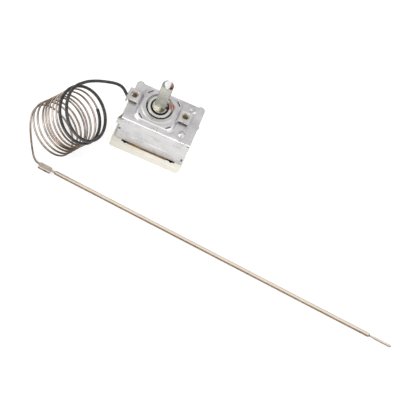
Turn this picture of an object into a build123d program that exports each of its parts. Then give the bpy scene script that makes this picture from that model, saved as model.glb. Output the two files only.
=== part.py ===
from math import atan, cos, degrees, pi, radians, sin, tan
import os

from build123d import *

# Capillary thermostat of an oven. Millimetres, +Z up along the control spindle.
# The origin is where the spindle axis meets the underside of the ceramic base.
# +X runs along the line of the two fixing holes, -Y is the side of the apron.

# Folded steel housing
sheet = 1.0
plate_left = -15.4
plate_right = 22.0
plate_front = -13.4
plate_back = 9.9
plate_top = 28.2
bend_radius = 1.8
plate_corner = 2.2
back_apron_left = -11.5
back_apron_right = 18.1
bend_relief = 0.6
bend_relief_drop = 2.0
bend_relief_inset = 0.75

# Raised pad round the spindle
pad_left_margin = 2.0
pad_right_margin = 2.5
pad_front_margin = 3.1
pad_corner = 4.8
pad_rise = 0.9
pad_run = 1.35
pad_inset = 0.15
pad_root = 0.1
dome_radius = 9.6
dome_run = 0.7
dome_rise = 0.3
slit_length = 3.1
slit_width = 0.6
slit_places = ((-7.2, 6.0, 45), (8.2, 5.9, -45), (8.15, -8.95, 45), (-7.1, -8.9, -40))

# Lanced fixing lugs
fixing_spacing = 28.0
lug_width = 6.7
lug_front = -3.7
lug_back = 3.1
lug_rise = 2.5
lug_lean = 0.3
lug_bend = 0.95
fixing_hole_radius = 1.85
fixing_chamfer = 0.35
fixing_collar_width = 0.7
fixing_thread_length = 1.6

# Apron
rib_left = -7.4
rib_right = 13.2
rib_height = 12.1
rib_width = 1.3
rib_rise = 0.45
side_slot_place = (20.8, 9.8)
side_slot_size = (0.8, 2.8)
edge_notch_height = 15.6
edge_notch_size = (1.3, 2.2)
ear_reach = 1.9
ear_height = 4.3
ear_drop = 4.0
edge_burr = 0.5

# Ceramic base
base_left_margin = 1.5
base_right_margin = 0.1
base_front_margin = 3.3
base_back_margin = 1.6
base_corner = 1.2
base_big_corner = 2.2
base_edge = 0.35
chamber_left = -9.7
chamber_right = 15.7
chamber_front = -9.5
chamber_back = 6.8
chamber_floor = 1.4
trough_left = -11.8
trough_right = 18.1
trough_width = 0.8
tongue_reach = 1.15
trough_hole_radius = 0.95
trough_hole_inset = 2.1
clearance = 0.1

# Staking tabs that hold the base
tab_width = 2.4
front_tab_places = (-13.6, 19.9)
back_tab_place = 3.0
back_tab_width = 4.8
tab_foot = 0.35
tab_turn = 2.8

# Insulating card
card_thickness = 0.8
card_sunk = 0.2
card_margin = 0.9
tongue_left = -8.3
tongue_right = 13.3
card_hole_radius = 1.9

# Spindle
spindle_radius = 3.0
spindle_reach = 25.6
flat_distance = 1.6
round_foot = 1.6
tip_chamfer = 1.2
tip_chamfer_height = 1.3
tip_slot_width = 1.3
tip_slot_depth = 1.5
groove_radius = 2.6
collar_radius = 4.2
collar_height = 0.9
stop_radius = 6.4
stop_width = 40
stop_rest_angle = 110
turn_range = 270
screw_radius = 2.0
screw_end_gap = 0.9
running_gap = 0.05
axial_gap = 0.1

# Bearing bush
bush_radius = 6.3
bush_hole_gap = 0.75
hole_chamfer = 0.2
bush_stand = 0.3
bush_slope = 0.25
bush_recess_depth = 1.1
bush_recess_gap = 0.6
bush_flange_lap = 0.15
bush_flange_thickness = 1.7
bush_foot_height = 0.6
bush_foot_wall = 2.2
washer_radius = 3.95
washer_thickness = 0.6
washer_ring_wall = 0.6
washer_ring_height = 1.0

# Diaphragm and its adjusting nut
capsule_radius = 8.4
capsule_height = 3.0
capsule_rim = 1.0
capsule_rim_thickness = 0.6
crest_slope = 0.8
boss_radius = 2.6
boss_height = 0.4
nut_size = 8.0
nut_height = 3.2
nut_travel = 0.6
nut_headroom = 0.7

# Guide block, bracket and transmission pin
guide_left = -15.2
guide_right = 21.6
guide_height = 4.5
guide_gap = 0.2
tower_radius = 4.2
pin_radius = 1.5
pin_gap = 0.02
pin_tip_radius = 0.4
pin_edge = 0.3
bracket_left = -12.6
bracket_right = 20.4
bracket_gap = 0.5
bracket_front = -6.5
bracket_back = 6.5
bracket_hole_radius = 2.0
bracket_flange_left = 10.8
ear_gap = 0.1
ear_length = 3.8
shelf_right = -10.8
shelf_back = 3.6
plate_rivet_places = ((16.2, 6.0), (15.8, -9.1))
plate_rivet_radius = 1.8
plate_rivet_crown = 1.25
plate_rivet_rise = 0.4
rivet_shank = 1.0

# Switch
blade_pivot = -8.5
blade_end = 10.0
blade_width = 4.0
blade_thickness = 0.3
blade_gap = 0.4
contact_place = 8.4
contact_radius = 1.4
moving_contact_height = 0.4
contact_gap = 0.02
fixed_contact_height = 0.18
arm_thickness = 0.55
terminal_thickness = 0.8
terminal_width = 6.3
terminal_end = 20.5
left_terminal_place = -6.3
right_terminal_place = 12.2
terminal_hole_radius = 0.9
terminal_rivet_y = 4.9
terminal_rivet_radius = 1.5
terminal_rivet_head = 0.4
calibration_place = -2.7
calibration_radius = 1.45
calibration_foot = 0.5
calibration_tip = 2.1

# Capillary, its coil and the bulb
capillary_diameter = 1.0
sleeve_diameter = 1.6
lead_route = (
    (-15.8, -1.2, 24.6),
    (-18.7, 2.2, 24.6),
    (-21.9, 3.6, 26.5),
    (-26.8, 1.7, 30.1),
    (-34.6, -3.8, 34.4),
    (-38.6, -7.8, 36.5),
)
stub_place = (-5.5, -3.5)
stub_rise = 2.2
stub_route = ((-12.0, -5.66, 24.6),)
tail_route = (
    (-56.0, -15.8, 9.9),
    (-58.2, -20.3, 12.4),
    (-57.9, -28.2, 12.7),
    (-51.4, -37.9, 4.0),
    (-48.4, -41.6, 1.7),
)
tail_bend = 9.4
coil_top = (-31.0, -19.0, 31.4)
coil_direction = (-0.537, -0.265, -0.801)
coil_radius = 14.5
coil_wall = 0.9
coil_tilt = 37
coil_lean_top = 5
coil_lean_bottom = 32
coil_above = 1.0
coil_length = 28.6
bulb_start = (-36.1, -43.9)
bulb_turn = -4.36
bulb_height = 1.1
bulb_radius = 1.05
bulb_length = 180.2
bulb_shoulder = 0.8
bulb_waist_radius = 0.45
bulb_waist_length = 2.6
tip_radius = 0.64
tip_length = 9.5
ferrule_start = -8.5
ferrule_length = 6.6
ferrule_width = 3.3
ferrule_height = 1.9
ferrule_corner = 0.55
ferrule_offset = 0.35
ferrule_bore_gap = 0.08
ferrule_dimple_share = 0.6
ferrule_dimple_radius = 0.5

# Heights from the chamber floor up to the top of the base
terminal_top = chamber_floor + terminal_thickness
blade_height = terminal_top + blade_gap
blade_top = blade_height + blade_thickness
fixed_contact_foot = blade_top + moving_contact_height + contact_gap
arm_foot = fixed_contact_foot + fixed_contact_height
card_foot = arm_foot + arm_thickness + running_gap
card_top = card_foot + card_thickness
base_height = card_top + card_sunk

# Heights from the plate up to the tip and down to the pin
plate_foot = plate_top - sheet
pad_top = plate_top + pad_rise
pad_foot = plate_foot + pad_rise
dome_top = pad_top + dome_rise
lug_top = plate_top + lug_rise
tip_height = plate_top + spindle_reach
bush_top = dome_top + bush_stand
bush_recess_floor = bush_top - bush_recess_depth
bush_flange_foot = pad_foot - bush_flange_thickness
bush_foot = bush_flange_foot - bush_foot_height
flat_start = bush_top + round_foot
collar_top = bush_foot - axial_gap
collar_foot = collar_top - collar_height
capsule_top = collar_foot - nut_headroom - nut_travel - nut_height
capsule_foot = capsule_top - capsule_height
screw_end = capsule_top + screw_end_gap
boss_foot = capsule_foot - boss_height
bracket_top = boss_foot - bracket_gap
bracket_foot = bracket_top - sheet
pin_top = boss_foot - pin_gap
pin_foot = blade_top + pin_gap

# Places that follow from the values above
bush_hole_radius = bush_radius + bush_hole_gap
bush_flange_radius = bush_hole_radius + bush_flange_lap
bush_recess_radius = washer_radius + bush_recess_gap
bush_foot_radius = spindle_radius + bush_foot_wall
pad_back = bush_flange_radius + clearance + pad_inset + pad_run
pad_left = -pad_back - pad_left_margin
pad_right = pad_back + pad_right_margin
pad_front = -pad_back - pad_front_margin
front_inside = plate_front + sheet
back_inside = plate_back - sheet
base_left = plate_left - base_left_margin
base_right = plate_right + base_right_margin
base_front = plate_front - base_front_margin
base_back = plate_back + base_back_margin
ear_top = plate_top - ear_drop


def block(x0, x1, y0, y1, z0, z1):
    """A box given by its faces."""
    box = Box(x1 - x0, y1 - y0, z1 - z0)
    return Pos((x0 + x1) / 2, (y0 + y1) / 2, (z0 + z1) / 2) * box


def post(x, y, z0, z1, radius):
    """An upright cylinder from z0 to z1."""
    return Pos(x, y, (z0 + z1) / 2) * Cylinder(radius, z1 - z0)


def sector(inner, outer, z0, z1, middle, width):
    """An upright piece of a ring, width degrees wide about the direction middle."""
    ring = post(0, 0, z0, z1, outer) - post(0, 0, z0, z1, inner)
    reach = 2 * outer
    low = radians(middle - width / 2)
    high = radians(middle + width / 2)
    corners = [(0, 0), (reach * cos(low), reach * sin(low)), (reach * cos(high), reach * sin(high))]
    wedge = extrude(Pos(0, 0, z0) * make_face(Polyline(*corners, close=True)), amount=z1 - z0)
    return ring & wedge


def revolved(profile):
    """A body of revolution about Z from its half profile of (radius, height) points."""
    points = [(radius, 0, height) for radius, height in profile]
    return revolve(make_face(Polyline(*points, close=True)), axis=Axis.Z)


def route_path(points):
    """Straight runs joined by tangent arcs, each as large as its two runs allow."""
    knots = [Vector(*point) for point in points]
    arcs = []
    for before, corner, after in zip(knots, knots[1:], knots[2:]):
        turn = radians((corner - before).get_angle(after - corner))
        shorter = min((corner - before).length, (after - corner).length)
        arcs.append(0.45 * shorter / tan(turn / 2))
    print("radii", [round(arc, 1) for arc in arcs])
    return FilletPolyline(*points, radius=arcs)


def round_tube(points, diameter):
    """A round bar swept along a route."""
    path = route_path(points)
    section = Plane(origin=path @ 0, z_dir=path % 0) * Circle(diameter / 2)
    bar = sweep(section, path=path)
    expected = pi * diameter**2 / 4 * path.length
    print("length", round(path.length, 1), "volume", round(bar.volume, 1), "expected", round(expected, 1))
    return bar


def on_bulb_line(distance):
    """The point of the bulb's centre line at a distance from the bulb's near end."""
    x = bulb_start[0] + distance * cos(radians(bulb_turn))
    y = bulb_start[1] + distance * sin(radians(bulb_turn))
    return (x, y, bulb_height)


def bulb_plane(distance):
    """A plane across the bulb's centre line, its Z along the line and its X level."""
    along = (cos(radians(bulb_turn)), sin(radians(bulb_turn)), 0)
    level = (-sin(radians(bulb_turn)), cos(radians(bulb_turn)), 0)
    return Plane(origin=on_bulb_line(distance), x_dir=level, z_dir=along)


def pad_outline(shrink):
    """The rounded outline of the raised pad, drawn in by shrink."""
    width = pad_right - pad_left - 2 * shrink
    depth = pad_back - pad_front - 2 * shrink
    middle = ((pad_left + pad_right) / 2, (pad_front + pad_back) / 2)
    return Pos(*middle) * RectangleRounded(width, depth, pad_corner - shrink)


def folded_apron(left, right, face, foot, side):
    """An apron hanging from the plate, with the bend that joins them; side is -1 in front, 1 behind."""
    inner_radius = bend_radius - sheet
    inside = face - side * sheet
    bend_centre = face - side * bend_radius
    wall = block(left, right, min(face, inside), max(face, inside), foot, plate_top - bend_radius)
    lines = Polyline(
        (left, face, plate_top - bend_radius),
        (left, inside, plate_top - bend_radius),
    )
    inner_arc = CenterArc((0, 0), inner_radius, 0, 90)
    outer_arc = CenterArc((0, 0), bend_radius, 0, 90)
    ends = [Line(inner_arc @ 0, outer_arc @ 0), Line(inner_arc @ 1, outer_arc @ 1)]
    section = make_face([inner_arc, outer_arc] + ends)
    frame = Plane(origin=(left, bend_centre, plate_top - bend_radius), x_dir=(0, side, 0), z_dir=(side, 0, 0))
    bend = extrude(frame * section, amount=side * (right - left))
    return wall + bend


def lug(centre):
    """A bridge sheared free in front and behind and pushed up out of the plate, with its thread collar."""
    top = lug_width / 2
    foot = top + lug_lean
    outer = Polyline(
        (centre - foot, 0, plate_foot),
        (centre - top, 0, lug_top),
        (centre + top, 0, lug_top),
        (centre + foot, 0, plate_foot),
        close=True,
    )
    inner = Polyline(
        (centre - foot + sheet, 0, plate_foot),
        (centre - top + sheet, 0, lug_top - sheet),
        (centre + top - sheet, 0, lug_top - sheet),
        (centre + foot - sheet, 0, plate_foot),
        close=True,
    )
    section = Pos(0, lug_back, 0) * (make_face(outer) - make_face(inner))
    bridge = extrude(section, amount=lug_back - lug_front, dir=(0, -1, 0))
    top_edges = bridge.edges().filter_by(Axis.Y).group_by(Axis.Z)[-1]
    bridge = fillet(top_edges, lug_bend)
    collar_foot_height = lug_top - fixing_thread_length
    return bridge + post(centre, 0, collar_foot_height, lug_top - sheet, fixing_hole_radius + fixing_collar_width)


def staking_tab(place, width, face, side):
    """A tab of an apron's lower edge, through the base and turned inwards under it."""
    inside = face - side * sheet
    reach = face - side * tab_turn
    down = block(place - width / 2, place + width / 2, min(face, inside), max(face, inside), tab_foot, base_height)
    turned = block(place - width / 2, place + width / 2, min(face, reach), max(face, reach), tab_foot, tab_foot + sheet)
    return down + turned


def tab_room(place, width, face, side):
    """The slot and the recess in the base for a staking tab."""
    half = width / 2 + clearance
    inside = face - side * (sheet + clearance)
    reach = face - side * (tab_turn + clearance)
    outside = face + side * clearance
    slot = block(place - half, place + half, min(outside, inside), max(outside, inside), 0, base_height)
    recess = block(place - half, place + half, min(outside, reach), max(outside, reach), 0, tab_foot + sheet + clearance)
    return slot + recess


def housing_shell():
    """Plate with its raised pad and lugs, front and back aprons and staking tabs, in one sheet."""
    plate = block(plate_left, plate_right, plate_front + bend_radius, plate_back, plate_foot, plate_top)
    back_corners = plate.edges().filter_by(Axis.Z).group_by(Axis.Y)[-1]
    plate = fillet(back_corners, plate_corner)
    plate -= block(back_apron_left - sheet, back_apron_right + sheet, plate_back - bend_radius, plate_back, plate_foot, plate_top)
    plate += block(back_apron_left, back_apron_right, plate_back - bend_radius - sheet, plate_back - bend_radius, plate_foot, plate_top)
    shell = plate + folded_apron(plate_left, plate_right, plate_front, base_height, -1)
    shell += folded_apron(back_apron_left, back_apron_right, plate_back, base_height, 1)

    spread = pad_run / pad_rise
    slope = degrees(atan(spread))
    root = plate_top - pad_root
    shell += extrude(Pos(0, 0, root) * pad_outline(-pad_root * spread), amount=pad_rise + pad_root, taper=slope)
    shell -= extrude(Pos(0, 0, plate_foot) * pad_outline(pad_inset), amount=pad_rise, taper=slope)
    dome = Pos(0, 0, pad_top + dome_rise / 2) * Cone(dome_radius, dome_radius - dome_run, dome_rise)
    shell += dome & extrude(Pos(0, 0, pad_top) * pad_outline(pad_run), amount=dome_rise)
    shell -= post(0, 0, plate_foot, dome_top, bush_hole_radius)
    shell -= Pos(0, 0, dome_top - hole_chamfer / 2) * Cone(
        bush_hole_radius, bush_hole_radius + hole_chamfer, hole_chamfer
    )
    for x, y, turn in slit_places:
        slit = Pos(x, y, plate_top) * Rot(0, 0, turn) * Box(slit_length, slit_width, 4 * sheet)
        shell -= slit

    for side in (-1, 1):
        centre = side * fixing_spacing / 2
        half = lug_width / 2 + lug_lean - sheet
        shell -= block(centre - half, centre + half, lug_front, lug_back, plate_foot, lug_top)
        shell += lug(centre)
        shell -= post(centre, 0, plate_foot, lug_top, fixing_hole_radius)
        shell -= Pos(centre, 0, lug_top - fixing_chamfer / 2) * Cone(
            fixing_hole_radius, fixing_hole_radius + fixing_chamfer, fixing_chamfer
        )
    for x, y in plate_rivet_places:
        shell -= post(x, y, plate_foot, plate_top, rivet_shank)

    middle = (rib_left + rib_right) / 2
    rib_plane = Plane(origin=(middle, plate_front, rib_height), x_dir=(1, 0, 0), z_dir=(0, -1, 0))
    shell += extrude(rib_plane * SlotOverall(rib_right - rib_left, rib_width), amount=rib_rise, taper=45)
    x, z = side_slot_place
    shell -= block(
        x - side_slot_size[0] / 2, x + side_slot_size[0] / 2, plate_front, front_inside,
        z - side_slot_size[1] / 2, z + side_slot_size[1] / 2,
    )
    shell -= block(
        plate_left, plate_left + edge_notch_size[0], plate_front, front_inside,
        edge_notch_height - edge_notch_size[1] / 2, edge_notch_height + edge_notch_size[1] / 2,
    )
    for x in (plate_left + bend_relief_inset, plate_right - bend_relief_inset):
        relief = Pos(x, plate_front, plate_top - bend_relief_drop) * Rot(90, 0, 0)
        shell -= relief * Cylinder(bend_relief, 4 * sheet)

    shell += block(plate_left - ear_reach, plate_left, plate_front, front_inside, ear_top - ear_height, ear_top)
    shell += block(plate_right, plate_right + edge_burr, -2.6, -1.0, plate_foot, plate_top)

    for place in front_tab_places:
        shell += staking_tab(place, tab_width, plate_front, -1)
    shell += staking_tab(back_tab_place, back_tab_width, plate_back, 1)
    return shell


def ceramic_base():
    """Steatite base with the contact chamber, the card's recess and the slots for tabs and terminals."""
    base = block(base_left, base_right, base_front, base_back, 0, base_height)
    uprights = base.edges().filter_by(Axis.Z)
    big = uprights.sort_by(Axis.X)[-2:].sort_by(Axis.Y)[0]
    base = fillet([edge for edge in uprights if edge != big], base_corner)
    big = base.edges().filter_by(Axis.Z).sort_by_distance((base_right, base_front, base_height / 2))[0]
    base = fillet(big, base_big_corner)
    base = chamfer(base.faces().sort_by(Axis.Z)[-1].edges(), base_edge)

    base -= block(chamber_left, chamber_right, chamber_front, chamber_back, chamber_floor, base_height)
    room = card_margin + clearance
    base -= block(
        chamber_left - room, chamber_right + room, chamber_front - room, chamber_back + room, card_foot, base_height
    )
    base -= block(
        tongue_left - clearance, tongue_right + clearance,
        plate_front - tongue_reach, chamber_front, card_foot, base_height,
    )
    base -= block(
        trough_left, trough_right, plate_front - trough_width, chamber_front, chamber_floor, base_height
    )
    for x in (trough_left + trough_hole_inset, trough_right - trough_hole_inset):
        base -= post(x, plate_front - trough_width / 2, chamber_floor, base_height, trough_hole_radius)

    for place in front_tab_places:
        base -= tab_room(place, tab_width, plate_front, -1)
    base -= tab_room(back_tab_place, back_tab_width, plate_back, 1)
    half = terminal_width / 2 + running_gap
    for place in (left_terminal_place, right_terminal_place):
        base -= block(
            place - half, place + half, chamber_back, base_back, chamber_floor, terminal_top + running_gap
        )
        base -= post(place, terminal_rivet_y, 0, chamber_floor, rivet_shank)
    base -= post(calibration_place, 0, 0, chamber_floor, calibration_radius + running_gap)
    return base


def insulating_card():
    """Brown card that closes the contact chamber; its tongue shows in front of the apron."""
    card = block(
        chamber_left - card_margin, chamber_right + card_margin,
        chamber_front - card_margin, chamber_back + card_margin, card_foot, card_top,
    )
    tongue_front = plate_front - tongue_reach + clearance
    card += block(tongue_left, tongue_right, tongue_front, chamber_front, card_foot, card_top)
    return card - post(0, 0, card_foot, card_top, card_hole_radius)


def guide_block():
    """Moulded block over the chamber, with the tower that guides the transmission pin."""
    block_top = base_height + guide_height
    guide = block(
        guide_left, guide_right, front_inside + guide_gap, back_inside - guide_gap, base_height, block_top
    )
    guide = chamfer(guide.faces().sort_by(Axis.Z)[-1].edges(), 0.6)
    guide += post(0, 0, block_top, bracket_foot, tower_radius)
    return guide - post(0, 0, base_height, bracket_foot, pin_radius + running_gap)


def carrier_bracket():
    """Bracket under the plate: its lower leg lies on the guide tower, its flange and its shelf under the lugs."""
    front = plate_front + bend_radius + clearance
    leg = block(bracket_left, bracket_right, bracket_front, bracket_back, bracket_foot, bracket_top)
    wall = block(bracket_right - sheet, bracket_right, front + sheet, bracket_back, bracket_foot, plate_foot)
    flange = block(bracket_flange_left, bracket_right, front, bracket_back + 1.4, plate_foot - sheet, plate_foot)
    bracket = leg + wall + flange
    outer_bend = bracket.edges().filter_by(Axis.Y).group_by(Axis.Z)[0].sort_by(Axis.X)[-1]
    bracket = fillet(outer_bend, sheet * 0.9)

    ear_left = plate_left - ear_reach + ear_gap
    ear_back = front + ear_length
    arm = block(plate_left + ear_gap, shelf_right, front, bracket_front + sheet, bracket_foot, bracket_top)
    upright = block(plate_left + ear_gap, plate_left + ear_gap + sheet, front, ear_back, bracket_foot, plate_foot)
    corners = ((ear_left, front), (plate_left + sheet, front), (plate_left + sheet, ear_back), (plate_left, ear_back))
    outline = Pos(0, 0, ear_top - ear_height / 2) * make_face(Polyline(*corners, close=True))
    ear = extrude(outline, amount=sheet)
    shelf = block(plate_left + ear_gap, shelf_right, front, shelf_back, plate_foot - sheet, plate_foot)
    bracket += arm + upright + ear + shelf
    bracket -= post(0, 0, bracket_foot, bracket_top, bracket_hole_radius)
    for x, y in plate_rivet_places:
        bracket -= post(x, y, plate_foot - sheet, plate_foot, rivet_shank)
    return bracket


def rivet(x, y, foot, top, radius, crown, rise, shank):
    """A rivet whose shank ends flush at foot, with a low crowned head on top."""
    profile = (
        (0, foot),
        (shank, foot),
        (shank, top),
        (radius, top),
        (crown, top + rise),
        (0, top + rise),
    )
    return Pos(x, y, 0) * revolved(profile)


def plate_rivets():
    """Two rivets that hold the bracket under the plate."""
    foot = plate_foot - sheet
    sizes = (foot, plate_top, plate_rivet_radius, plate_rivet_crown, plate_rivet_rise, rivet_shank)
    return Compound(children=[rivet(x, y, *sizes) for x, y in plate_rivet_places])


def spindle_bush():
    """Flanged bush that carries the spindle, with the recess of the washer and the stop below."""
    bush = revolved((
        (spindle_radius + running_gap, bush_foot),
        (bush_foot_radius, bush_foot),
        (bush_foot_radius, bush_flange_foot),
        (bush_flange_radius, bush_flange_foot),
        (bush_flange_radius, pad_foot),
        (bush_radius, pad_foot),
        (bush_radius, bush_top - bush_slope - 0.3),
        (bush_radius - 0.3, bush_top - bush_slope),
        (bush_recess_radius + 0.2, bush_top),
        (bush_recess_radius, bush_top - 0.2),
        (bush_recess_radius, bush_recess_floor),
        (spindle_radius + running_gap, bush_recess_floor),
    ))
    stop_outer = stop_radius + 0.2
    return bush + sector(bush_foot_radius - 0.2, stop_outer, collar_foot, bush_flange_foot, stop_rest_angle, stop_width)


def spindle():
    """D shaped control spindle with its stop collar and the adjusting thread's foot."""
    washer_foot = bush_recess_floor + axial_gap + 0.05
    washer_top = washer_foot + washer_thickness + clearance
    shaft = revolved((
        (0, screw_end),
        (screw_radius - 0.3, screw_end),
        (screw_radius, screw_end + 0.3),
        (screw_radius, collar_foot),
        (collar_radius, collar_foot),
        (collar_radius, collar_top),
        (spindle_radius, collar_top),
        (spindle_radius, washer_foot),
        (groove_radius, washer_foot),
        (groove_radius, washer_top),
        (spindle_radius, washer_top),
        (spindle_radius, tip_height - tip_chamfer_height),
        (spindle_radius - tip_chamfer, tip_height),
        (0, tip_height),
    ))
    lobe_angle = stop_rest_angle - stop_width - (360 - 2 * stop_width - turn_range) / 2
    shaft += sector(collar_radius - 0.2, stop_radius, collar_foot, collar_top, lobe_angle, stop_width)
    shaft -= block(-spindle_radius, spindle_radius, -2 * spindle_radius, -flat_distance, flat_start, tip_height)
    slot = block(-spindle_radius, spindle_radius, -tip_slot_width / 2, tip_slot_width / 2, tip_height - tip_slot_depth, tip_height)
    return shaft - Rot(0, 0, 90) * slot


def retaining_washer():
    """Dished snap washer in the spindle's groove, with a raised ring, open at the back."""
    foot = bush_recess_floor + axial_gap + 0.1
    inside = washer_radius - washer_ring_wall
    washer = revolved((
        (groove_radius + running_gap, foot),
        (washer_radius, foot),
        (washer_radius, foot + washer_ring_height - 0.2),
        (washer_radius - 0.2, foot + washer_ring_height),
        (inside + 0.15, foot + washer_ring_height),
        (inside, foot + washer_ring_height - 0.15),
        (inside, foot + washer_thickness),
        (groove_radius + running_gap, foot + washer_thickness),
    ))
    gap = groove_radius * 0.85
    return washer - block(-gap, gap, 0, washer_radius, foot, foot + washer_ring_height)


def adjusting_nut():
    """Square nut on the spindle's thread, fixed on the diaphragm."""
    half = nut_size / 2
    nut = block(-half, half, -half, half, capsule_top, capsule_top + nut_height)
    nut = chamfer(nut.edges().filter_by(Axis.Z), 1.0)
    return nut - post(0, 0, capsule_top, capsule_top + nut_height, screw_radius + running_gap)


def diaphragm_capsule():
    """Two dished discs welded at the rim, with the boss that bears on the pin."""
    middle = (capsule_foot + capsule_top) / 2
    half = capsule_rim_thickness / 2
    crest = capsule_radius - capsule_rim - crest_slope
    return revolved((
        (0, boss_foot),
        (boss_radius, boss_foot),
        (boss_radius, capsule_foot),
        (crest, capsule_foot),
        (capsule_radius - capsule_rim, middle - half),
        (capsule_radius, middle - half),
        (capsule_radius, middle + half),
        (capsule_radius - capsule_rim, middle + half),
        (crest, capsule_top),
        (0, capsule_top),
    ))


def transmission_pin():
    """Steatite pin from the diaphragm to the switch blade, pointed at its foot."""
    return revolved((
        (0, pin_foot),
        (pin_tip_radius, pin_foot),
        (pin_radius, pin_foot + pin_radius - pin_tip_radius),
        (pin_radius, pin_top - pin_edge),
        (pin_radius - pin_edge, pin_top),
        (0, pin_top),
    ))


def switch_blade():
    """Spring blade that tips on the left terminal's lip and carries the moving contact."""
    half = blade_width / 2
    blade = block(blade_pivot, blade_end, -half, half, blade_height, blade_top)
    window = block(blade_pivot + 2.5, -2.2, -half / 3, half / 3, blade_height, blade_top)
    return fillet(blade.edges().filter_by(Axis.Z).group_by(Axis.X)[-1], 1.2) - window


def moving_contact():
    """Silver contact on the blade's free end."""
    return post(contact_place, 0, blade_top, blade_top + moving_contact_height, contact_radius)


def fixed_contact():
    """Silver contact under the right terminal's arm."""
    return post(contact_place, 0, fixed_contact_foot, arm_foot, contact_radius)


def terminal_tab(place):
    """Flat tab of a terminal, from the chamber out through the back of the base."""
    half = terminal_width / 2
    tab = block(place - half, place + half, 2.6, terminal_end, chamber_floor, terminal_top)
    tips = tab.edges().filter_by(Axis.Z).group_by(Axis.Y)[-1]
    tab = chamfer(tips, 1.2)
    tab -= post(place, terminal_end - 3.6, chamber_floor, terminal_top, terminal_hole_radius)
    return tab - post(place, terminal_rivet_y, chamber_floor, terminal_top, rivet_shank)


def left_terminal():
    """Terminal with the lip that the blade tips on."""
    edge = left_terminal_place - terminal_width / 2
    foot = block(edge, blade_pivot + 3.0, -2.4, 2.6, chamber_floor, terminal_top)
    lip = block(edge, blade_pivot - running_gap, -2.4, 2.4, terminal_top, blade_top + 0.5)
    return terminal_tab(left_terminal_place) + foot + lip


def right_terminal():
    """Terminal with the arm that holds the fixed contact above the blade."""
    edge = right_terminal_place + terminal_width / 2
    foot = block(blade_end + 0.6, edge, -2.6, 2.6, chamber_floor, terminal_top)
    wall = block(edge - terminal_thickness, edge, -2.6, 2.6, terminal_top, arm_foot)
    arm = block(contact_place - 2.0, edge, -2.6, 2.6, arm_foot, arm_foot + arm_thickness)
    return terminal_tab(right_terminal_place) + foot + wall + arm


def terminal_rivets():
    """Rivets that hold the terminals on the base."""
    crown = terminal_rivet_radius - terminal_rivet_head / 2
    sizes = (0.2, terminal_top, terminal_rivet_radius, crown, terminal_rivet_head, rivet_shank)
    places = (left_terminal_place, right_terminal_place)
    return Compound(children=[rivet(place, terminal_rivet_y, *sizes) for place in places])


def calibration_screw():
    """Slotted grub screw in the base, under the blade."""
    screw = post(calibration_place, 0, calibration_foot, calibration_tip, calibration_radius)
    screw = chamfer(screw.faces().sort_by(Axis.Z)[-1].edges(), 0.4)
    slot = block(
        calibration_place - calibration_radius, calibration_place + calibration_radius, -0.25, 0.25,
        calibration_foot, calibration_foot + 0.6,
    )
    return screw - slot


def capillary_coil():
    """The outer shape of the coiled capillary: a leaning ring that stands on the floor."""
    stack = Vector(*coil_direction).normalized()
    spare = coil_radius
    start = Vector(*coil_top) - stack * spare
    frame = Plane(origin=start, z_dir=stack)
    outer = coil_radius + coil_wall
    inner = coil_radius - coil_wall
    ring = extrude(frame * (Circle(outer) - Circle(inner)), amount=coil_length + 2 * spare)
    tilt = radians(coil_tilt)
    for lean, distance, keep in (
        (coil_lean_top, -coil_above, Keep.BOTTOM),
        (coil_lean_bottom, coil_length, Keep.TOP),
    ):
        across = (sin(tilt) * cos(radians(lean)), sin(tilt) * sin(radians(lean)), cos(tilt))
        ring = split(ring, bisect_by=Plane(origin=Vector(*coil_top) + stack * distance, z_dir=across), keep=keep)
    reach = 4 * coil_radius
    below = block(coil_top[0] - reach, coil_top[0] + reach, coil_top[1] - reach, coil_top[1] + reach, -reach, 0)
    return ring - below


def crimp_ferrule():
    """Flattened sleeve crimped on the capillary in front of the bulb, with the crimp's dimple in front."""
    plane = bulb_plane(ferrule_start)
    section = Pos(-ferrule_offset, 0) * RectangleRounded(ferrule_width, ferrule_height, ferrule_corner)
    section -= Circle(capillary_diameter / 2 + ferrule_bore_gap)
    ferrule = extrude(plane * section, amount=ferrule_length)
    place = bulb_plane(ferrule_start + ferrule_dimple_share * ferrule_length)
    side = ferrule_offset + ferrule_width / 2
    return ferrule - place * Pos(-side, 0, 0) * Sphere(ferrule_dimple_radius)


def sensor_bulb():
    """Liquid filled bulb: a thin tube drawn in at both ends, with the filling tip."""
    neck = capillary_diameter / 2
    waist_start = bulb_length + bulb_shoulder
    tip_start = waist_start + bulb_waist_length
    tip_end = tip_start + tip_length
    bulb = revolved((
        (0, 0),
        (neck + 0.1, 0),
        (bulb_radius, bulb_shoulder),
        (bulb_radius, bulb_length),
        (bulb_waist_radius, waist_start),
        (bulb_waist_radius, tip_start - 0.6),
        (tip_radius, tip_start),
        (tip_radius, tip_end - 0.3),
        (tip_radius - 0.3, tip_end),
        (0, tip_end),
    ))
    return bulb_plane(0) * bulb


def tail_points():
    """The tail's route, ended along the bulb's centre line."""
    return tail_route + (on_bulb_line(-tail_bend), on_bulb_line(0))


def stub_points():
    """The inner capillary, from the diaphragm's crest to the first point of the lead."""
    foot = stub_place + (capsule_top,)
    bend = stub_place + (capsule_top + stub_rise,)
    return (foot, bend) + stub_route + (lead_route[0],)


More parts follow.
